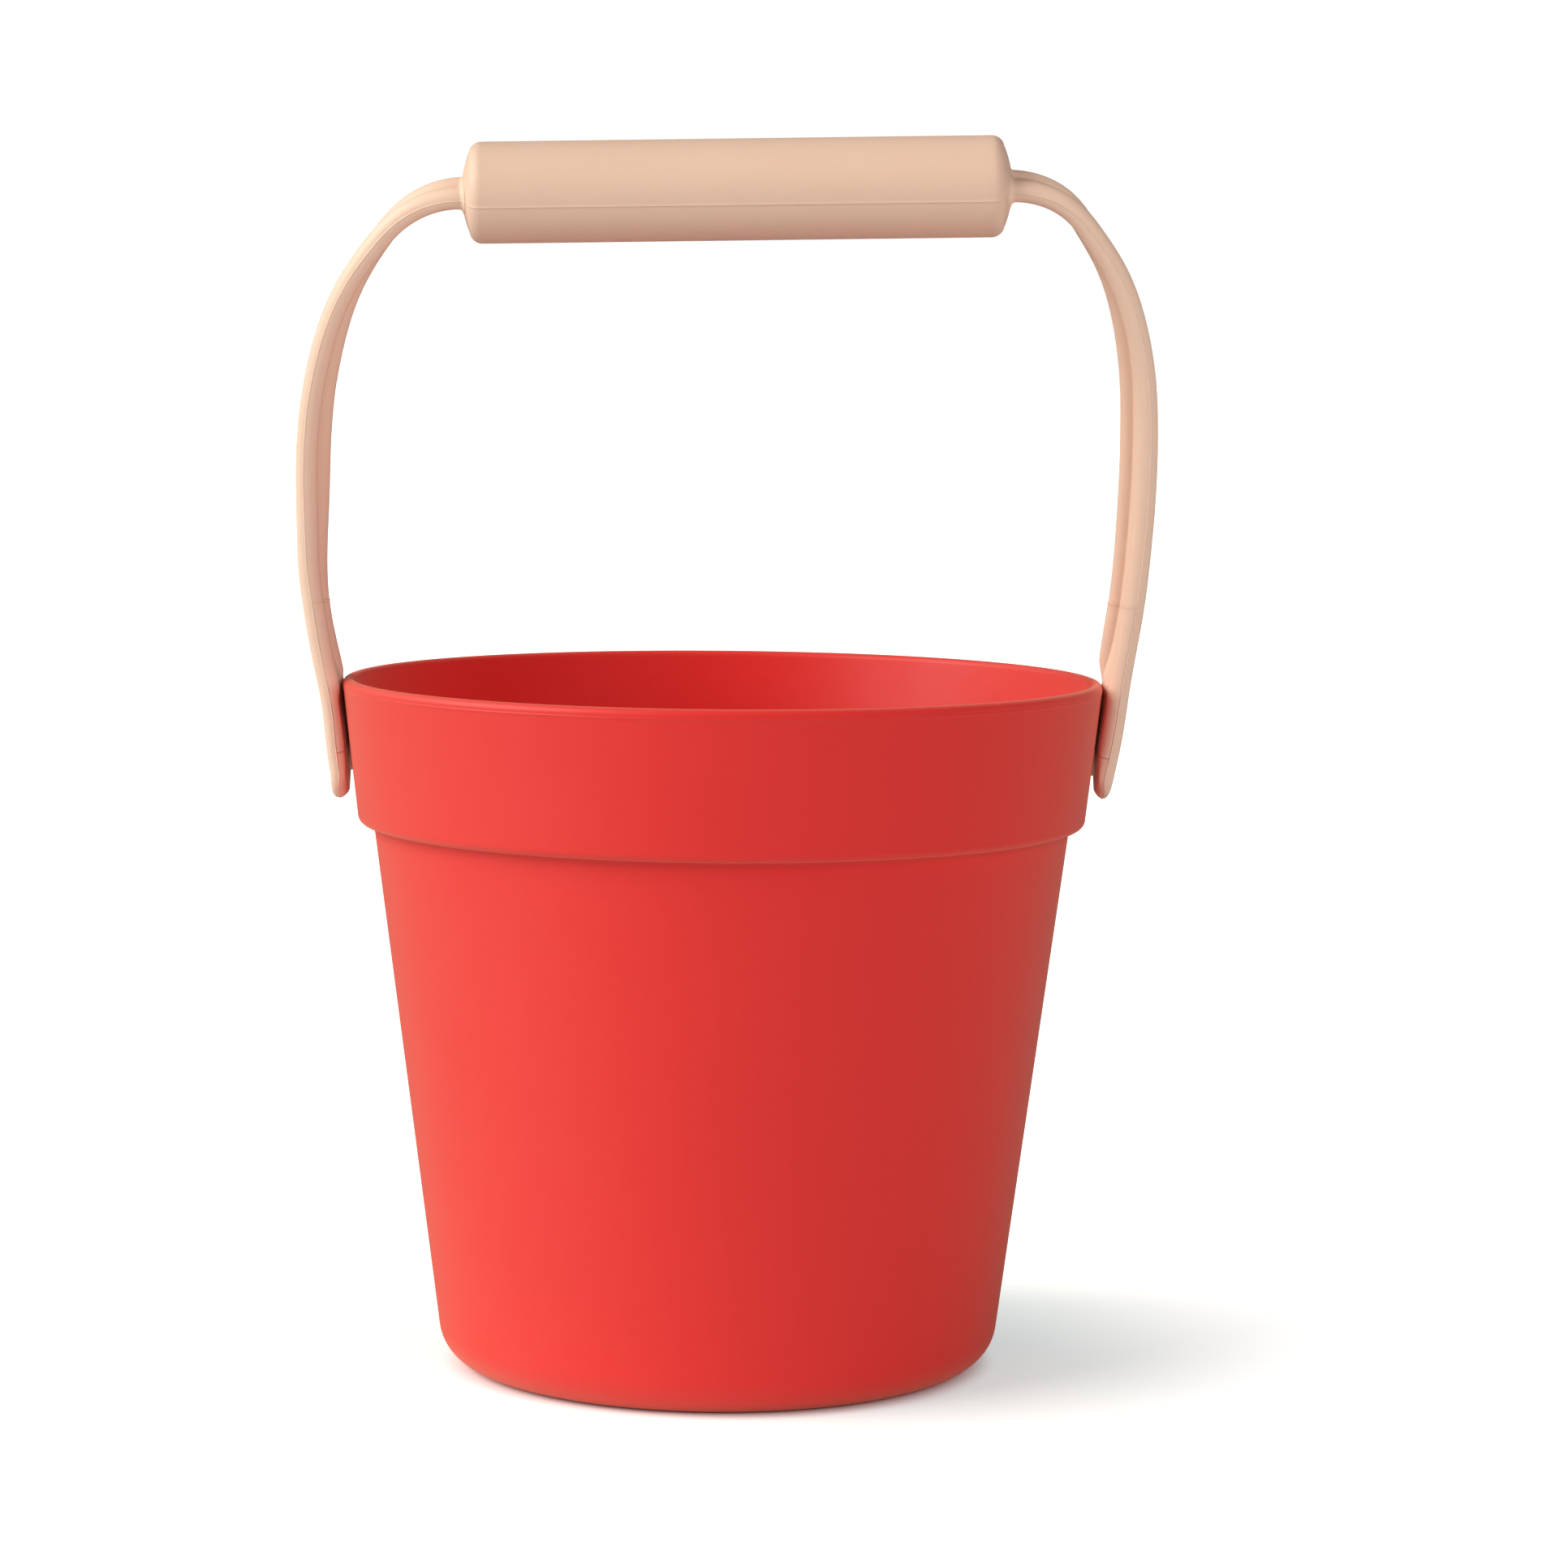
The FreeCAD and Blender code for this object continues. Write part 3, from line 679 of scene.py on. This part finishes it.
def make_arm(side):
    """One arm of the strap in the handle's frame: rings down to the pivot, then the pad's rounded foot."""
    stations = arm_stations()
    rings = [arm_ring(run, side, recess) for run in stations]
    points = [tuple(p) for ring in rings for p in ring]
    faces = []
    for i in range(len(rings) - 1):
        low, high = i * RING_ROWS, (i + 1) * RING_ROWS
        for j in range(RING_ROWS):
            k = (j + 1) % RING_ROWS
            faces.append((low + j, high + j, high + k, low + k))
    faces.append(tuple(range(RING_ROWS)))

    last = (len(rings) - 1) * RING_ROWS
    heading = ARM_HEADING[-1]
    centre = np.array([ARM_X[-1] + bend_at(side, 0.0), 0, ARM_V[-1]])
    down = np.array([math.cos(heading), 0, -math.sin(heading)])
    outwards = np.array([math.sin(heading), 0, math.cos(heading)])
    forward = np.array([0.0, -1.0, 0.0])
    rows = half_section(PAD_WIDTH, outer_groove=0.0, inner_groove=0.0)
    half = STRAP_THICKNESS / 2
    fans = [[last + j for j in range(FRONT_ROWS)]]
    for step in range(1, FOOT_STEPS):
        turn = math.pi * step / FOOT_STEPS
        sine = math.sin(turn)
        ray = forward * math.cos(turn) + down * sine * FOOT_REACH[side]
        fan = [last]
        for across, through, _, _ in rows[1:-1]:
            fan.append(len(points))
            if across > PAD_WIDTH / 2 - half:
                across += (PAD_WIDTH / 2 - across) * FOOT_BLUNTING[side] * sine
            flare = FOOT_FLARE[side] * ease(across * sine, 0.0, FLARE_DEPTH)
            point = centre + across * ray + (through + flare) * outwards
            # the pad thins towards its foot, its edge still round, where the collar would be in its way
            thinning = collar_reach(point[1], point[2]) - (point[0] - (through + half) * outwards[0])
            settled = ease(sine, 0.0, THINNING_SINE)
            point[0] += max(thinning, 0.0) * (half - through) / (2 * half) * settled
            points.append(tuple(point))
        fan.append(last + FRONT_ROWS - 1)
        fans.append(fan)
    fans.append([last] + [last + RING_ROWS - j for j in range(1, FRONT_ROWS - 1)] + [last + FRONT_ROWS - 1])
    for near, far in zip(fans, fans[1:]):
        for j in range(FRONT_ROWS - 1):
            face = [near[j], far[j], far[j + 1], near[j + 1]]
            faces.append([v for k, v in enumerate(face) if v not in face[:k]])
    places = clear_collar(np.array(points))
    return hand(places, faces, side)


def hand(places, faces, side):
    """The right-hand shape as it is, or its mirror image for the left."""
    if side > 0:
        return places, faces
    return places * np.array([-1, 1, 1]), [tuple(reversed(f)) for f in faces]


def joined(*meshes):
    """Several (points, faces) meshes as one."""
    points, faces, first = [], [], 0
    for some_points, some_faces in meshes:
        points.append(some_points)
        faces += [tuple(v + first for v in face) for face in some_faces]
        first += len(some_points)
    return np.concatenate(points), faces


def make_insert(side):
    """The part of a pivot anchor that shows: a thin closed shell in the inner half of the arm."""
    inside = np.flatnonzero(INSERT_ROWS)
    rows = np.arange(inside[0] - 1, inside[-1] + 2)
    foot, top = run_at_height(INSERT_FOOT), run_at_height(INSERT_TOP)
    runs = [top + INSERT_GAP + step for step in LIP_STEPS]
    runs += list(np.linspace(top + LIP_LENGTH, foot - LIP_LENGTH, INSERT_RINGS))
    runs += [foot - INSERT_GAP - step for step in reversed(LIP_STEPS)]
    outer, inner = [], []
    for i, run in enumerate(runs):
        from_end = min(i, len(runs) - 1 - i)
        lifts = np.full(RING_ROWS, INSERT_LIP[from_end] if from_end < len(INSERT_LIP) else INSERT_LIFT)
        lifts[rows[[0, -1]]] = -INSERT_LIFT
        outer.append(arm_ring(run, side, lambda v, lifts=lifts: lifts)[rows])
        inner.append(arm_ring(run, side, lambda v: np.full(RING_ROWS, -INSERT_DEPTH + INSERT_SEAT))[rows])
    count, across = len(runs), len(rows)
    points = np.concatenate(outer + inner)
    faces = []
    under = count * across
    for i in range(count - 1):
        for j in range(across - 1):
            a, b = i * across + j, (i + 1) * across + j
            faces.append((a, b, b + 1, a + 1))
            faces.append((under + a, under + a + 1, under + b + 1, under + b))
        for j in (0, across - 1):
            a, b = i * across + j, (i + 1) * across + j
            rim = (a, under + a, under + b, b)
            faces.append(rim if j == 0 else tuple(reversed(rim)))
    for j in range(across - 1):
        for i in (0, count - 1):
            a = i * across + j
            rim = (a, a + 1, under + a + 1, under + a)
            faces.append(rim if i == 0 else tuple(reversed(rim)))
    return hand(clear_collar(points), faces, side)


def make_pin(side):
    """Head, pin and flange, turned about the pivot axis."""
    head = HEAD_FACE - HEAD_THICKNESS
    outline = rounded_outline([
        (head, 0.0, 0.0),
        (head + HEAD_CROWN, HEAD_RADIUS, HEAD_ROUNDING),
        (HEAD_FACE, HEAD_RADIUS, HEAD_EDGE),
        (HEAD_FACE, PIN_RADIUS, PIN_FILLET),
        (FLANGE_FACE, PIN_RADIUS, FINE_ROUNDING),
        (FLANGE_FACE, FLANGE_RADIUS, FINE_ROUNDING),
        (FLANGE_FACE + FLANGE_THICKNESS, FLANGE_RADIUS, FINE_ROUNDING),
        (FLANGE_FACE + FLANGE_THICKNESS, 0.0, 0.0),
    ], run_steps=6, arc_steps=8)
    points, faces = lathe(outline, 96)
    return hand(points, faces, side)


def grip_outline():
    """The grip's outline as (x, radius) points, from its right end to its left."""
    dome_edge = DOME_TIP - (DOME_RADIUS - math.sqrt(DOME_RADIUS ** 2 - GRIP_RADIUS ** 2))
    tilt = math.asin(GRIP_RADIUS / DOME_RADIUS)
    angles = np.linspace(0, tilt - DOME_CORNER * CAP_SHORTENING / DOME_RADIUS, 16)
    cap = [(DOME_TIP - DOME_RADIUS * (1 - math.cos(a)), DOME_RADIUS * math.sin(a)) for a in angles]
    turn = math.pi / 2 - tilt
    reach = DOME_CORNER * math.tan(turn / 2)
    centre = (dome_edge - reach, GRIP_RADIUS - DOME_CORNER)
    corner = []
    for a in np.linspace(tilt, math.pi / 2, 12):
        corner.append((centre[0] + DOME_CORNER * math.cos(a), centre[1] + DOME_CORNER * math.sin(a)))
    while cap[-1][1] > corner[0][1] - CAP_MARGIN:
        cap.pop()
    right = cap + corner
    middle = [tuple(p) for p in spaced(right[-1], (-right[-1][0], right[-1][1]), 60)[1:-1]]
    return right + middle + [(-x, r) for x, r in reversed(right)]


def make_grip():
    """The grip: a cylinder with shallow domed ends and a low parting ridge along its front and back."""
    outline = grip_outline()
    ridge = GRIP_RIDGE_WIDTH / GRIP_RADIUS
    fine = [ridge * t for t in (-1, -0.6, -0.3, 0, 0.3, 0.6, 1)]
    coarse = list(np.linspace(0, math.pi, GRIP_SEGMENTS // 2 + 1)[2:-2])
    angles = sorted(fine + coarse + [math.pi + a for a in fine + coarse])
    points, faces, rings = [], [], []
    for x, r in outline:
        first = len(points)
        if r < ON_AXIS:
            points.append((x, 0.0, REACH))
            rings.append([first] * len(angles))
            continue
        for a in angles:
            off = abs(math.atan2(math.sin(2 * a), math.cos(2 * a))) / 2
            lift = GRIP_RIDGE_HEIGHT * max(0.0, 1 - (off / ridge) ** 2) ** 2 * min(1.0, r / GRIP_RADIUS)
            points.append((x, -(r + lift) * math.cos(a), REACH + (r + lift) * math.sin(a)))
        rings.append(list(range(first, first + len(angles))))
    count = len(angles)
    for low, high in zip(rings, rings[1:]):
        for i in range(count):
            j = (i + 1) % count
            face = [low[i], low[j], high[j], high[i]]
            faces.append([v for k, v in enumerate(face) if v not in face[:k]])
    return np.array(points), faces


def make_handle():
    """The bail: its strap, its grip, and the anchor in the foot of each arm."""
    strap = joined(make_arm(1), make_arm(-1))
    # the strap wears the beige silicone painted lighter, which stands in for light
    make_piece("strap", lean(settle(strap[0])), strap[1], BEIGE_PAINTED_LIGHTER, "handle", ["handle_strap"])
    grip = make_grip()
    make_piece("grip", lean(settle(grip[0])), grip[1], BEIGE, "handle", ["grip_sleeve"])
    for name, side in (("right", 1), ("left", -1)):
        anchor = joined(make_pin(side), make_insert(side))
        node = f"{name}_pivot_anchor"
        placed = lean(settle(anchor[0]))
        # each anchor wears the beige silicone painted lighter, which stands in for light
        make_piece(f"{name}_anchor", placed, anchor[1], BEIGE_PAINTED_LIGHTER, "handle", [node])


# ---------------------------------------------------------------- floor, lights, camera

FLOOR_RADIUS = 12.0
FLOOR_TONE = 0.9
FLOOR_TONE_IN_GLOSS = 0.12
BASE_EDGE = 0.050


def make_floor():
    """A pale floor, brighter to the camera than it is as a light. To the camera it glows with painted light,
    brightest away from the object, which cuts the cup's cast shadow short, and none right under the base.
    """
    material = bpy.data.materials.new("paper_white")
    material.use_nodes = True
    tree = material.node_tree
    shader = tree.nodes["Principled BSDF"]
    shader.inputs["Roughness"].default_value = 0.95
    shader.inputs["Specular IOR Level"].default_value = 0.0
    path = tree.nodes.new("ShaderNodeLightPath")
    tone = tree.nodes.new("ShaderNodeMapRange")
    tone.inputs["To Min"].default_value = FLOOR_TONE
    tone.inputs["To Max"].default_value = FLOOR_TONE_IN_GLOSS
    tree.links.new(path.outputs["Is Glossy Ray"], tone.inputs["Value"])
    tree.links.new(tone.outputs["Result"], shader.inputs["Base Color"])
    place = tree.nodes.new("ShaderNodeTexCoord")
    distance = tree.nodes.new("ShaderNodeVectorMath")
    distance.operation = "LENGTH"
    tree.links.new(place.outputs["Object"], distance.inputs[0])

    def by_distance(far, at_base, beyond):
        """A value that runs from the edge of the cup's base out to a distance from the cup's middle."""
        made = tree.nodes.new("ShaderNodeMapRange")
        made.interpolation_type = "SMOOTHSTEP"
        ends = {"From Min": BASE_EDGE, "From Max": far, "To Min": at_base, "To Max": beyond}
        for key, value in ends.items():
            made.inputs[key].default_value = value
        tree.links.new(distance.outputs["Value"], made.inputs["Value"])
        return made.outputs["Result"]

    def times(first, second):
        made = tree.nodes.new("ShaderNodeMath")
        made.operation = "MULTIPLY"
        tree.links.new(first, made.inputs[0])
        tree.links.new(second, made.inputs[1])
        return made.outputs["Value"]

    # painted light and shade: the glow is kept off right under the base, where the dark contact shadow stays,
    # and a painted tint, less red near the cup, balances the red light that the cup throws on the floor
    painted_light_pool = times(by_distance(0.150, at_base=0.45, beyond=0.80), by_distance(0.058, at_base=0.0, beyond=1.0))
    tree.links.new(times(painted_light_pool, path.outputs["Is Camera Ray"]), shader.inputs["Emission Strength"])
    # painted colour: the glow's tint is less red near the cup, against the red light the cup throws on the
    # floor
    tint = tree.nodes.new("ShaderNodeCombineColor")
    tree.links.new(by_distance(0.120, at_base=0.72, beyond=0.92), tint.inputs["Red"])
    tint.inputs["Green"].default_value = 1.0
    tint.inputs["Blue"].default_value = 1.0
    tree.links.new(tint.outputs["Color"], shader.inputs["Emission Color"])
    mesh = bpy.data.meshes.new("floor")
    corners = [(-FLOOR_RADIUS, -FLOOR_RADIUS, 0), (FLOOR_RADIUS, -FLOOR_RADIUS, 0)]
    corners += [(FLOOR_RADIUS, FLOOR_RADIUS, 0), (-FLOOR_RADIUS, FLOOR_RADIUS, 0)]
    mesh.from_pydata(corners, [], [(0, 1, 2, 3)])
    mesh.materials.append(material)
    floor = bpy.data.objects.new("floor", mesh)
    bpy.context.scene.collection.objects.link(floor)


def make_sky(light, shown):
    """White all round: shown is what the camera sees, light is what lights the object."""
    world = bpy.data.worlds.new("studio")
    bpy.context.scene.world = world
    world.use_nodes = True
    tree = world.node_tree
    background = tree.nodes["Background"]
    background.inputs["Color"].default_value = (1, 1, 1, 1)
    path = tree.nodes.new("ShaderNodeLightPath")
    strength = tree.nodes.new("ShaderNodeMapRange")
    strength.inputs["To Min"].default_value = light
    strength.inputs["To Max"].default_value = shown
    tree.links.new(path.outputs["Is Camera Ray"], strength.inputs["Value"])
    tree.links.new(strength.outputs["Result"], background.inputs["Strength"])


def add_sun(name, azimuth, elevation, strength, spread, colour=(1, 1, 1), glossy=True):
    """A broad soft light. Azimuth is from straight in front of the object, positive to the camera's right."""
    light = bpy.data.lights.new(name, "SUN")
    light.energy = strength
    light.angle = math.radians(spread)
    light.color = colour
    lamp = bpy.data.objects.new(name, light)
    lamp.visible_glossy = glossy
    bpy.context.scene.collection.objects.link(lamp)
    turn, tip = math.radians(azimuth), math.radians(elevation)
    towards = Vector((math.sin(turn) * math.cos(tip), -math.cos(turn) * math.cos(tip), math.sin(tip)))
    lamp.rotation_mode = "QUATERNION"
    lamp.rotation_quaternion = towards.to_track_quat("Z", "Y")


SENSOR_WIDTH = 36.0


def make_camera(distance, height, yaw, pitch, roll, lens):
    """A camera in front of the object, turned right by yaw and up by pitch, its picture rolled clockwise."""
    yaw, pitch, roll = math.radians(yaw), math.radians(pitch), math.radians(roll)
    ahead = Vector((math.sin(yaw) * math.cos(pitch), math.cos(yaw) * math.cos(pitch), math.sin(pitch)))
    right = Vector((math.cos(yaw), -math.sin(yaw), 0))
    up = right.cross(ahead)
    rolled_right = right * math.cos(roll) + up * math.sin(roll)
    rolled_up = up * math.cos(roll) - right * math.sin(roll)
    data = bpy.data.cameras.new("camera")
    data.lens = lens
    data.sensor_width = SENSOR_WIDTH
    camera = bpy.data.objects.new("camera", data)
    bpy.context.scene.collection.objects.link(camera)
    axes = Matrix((rolled_right, rolled_up, -ahead)).transposed()
    camera.matrix_world = Matrix.Translation((0, -distance * MM, height * MM)) @ axes.to_4x4()
    bpy.context.scene.camera = camera


make_cup()
make_handle()
make_floor()
make_sky(light=0.10, shown=1.05)
add_sun("key", azimuth=-70, elevation=28, strength=0.88 * math.pi, spread=50, colour=(1.0, 0.99, 0.92))
add_sun(
    "fill", azimuth=40, elevation=20, strength=0.38 * math.pi, spread=40, colour=(1.0, 0.88, 0.84),
    glossy=False,
)
add_sun("rim", azimuth=-112, elevation=30, strength=0.24 * math.pi, spread=60, colour=(1.0, 0.92, 0.75))
make_camera(distance=960, height=216.8, yaw=0.755, pitch=-5.8, roll=0.5435, lens=108.2)
bpy.context.scene.view_settings.view_transform = "Standard"
